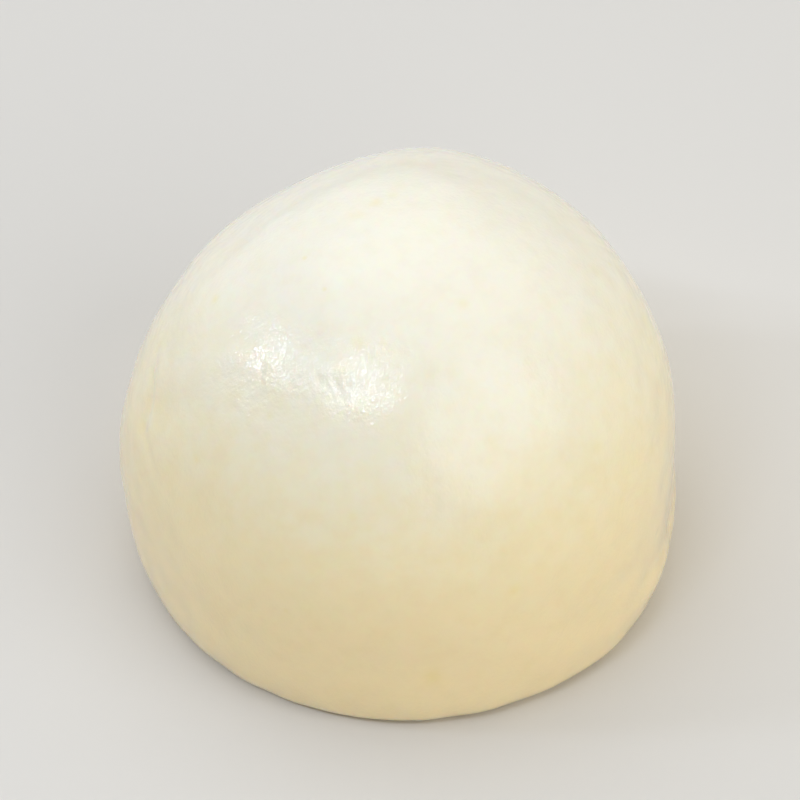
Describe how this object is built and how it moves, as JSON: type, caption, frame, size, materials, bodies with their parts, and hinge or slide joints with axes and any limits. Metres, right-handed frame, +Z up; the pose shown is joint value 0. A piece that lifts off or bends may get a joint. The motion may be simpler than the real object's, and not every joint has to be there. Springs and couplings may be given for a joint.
{
  "type": "steamed bun",
  "caption": "Round steamed wheat bun with a smooth, slightly uneven domed crown, a tucked foot and a flat seat to rest on.",
  "frame": {"origin": "bottom centre of the bun, in the middle of its flat seat", "axes": "+Z up out of the crown, which is the shortest extent; +X to the right and -Y towards the viewer of its shown side"},
  "size_m": [0.0844, 0.087, 0.0645],
  "materials": {
    "steamed_dough": "creamy white steamed dough with a thin smooth skin and a soft satin sheen"
  },
  "bodies": {
    "root": {"bun": "steamed_dough"}
  },
  "joints": []
}
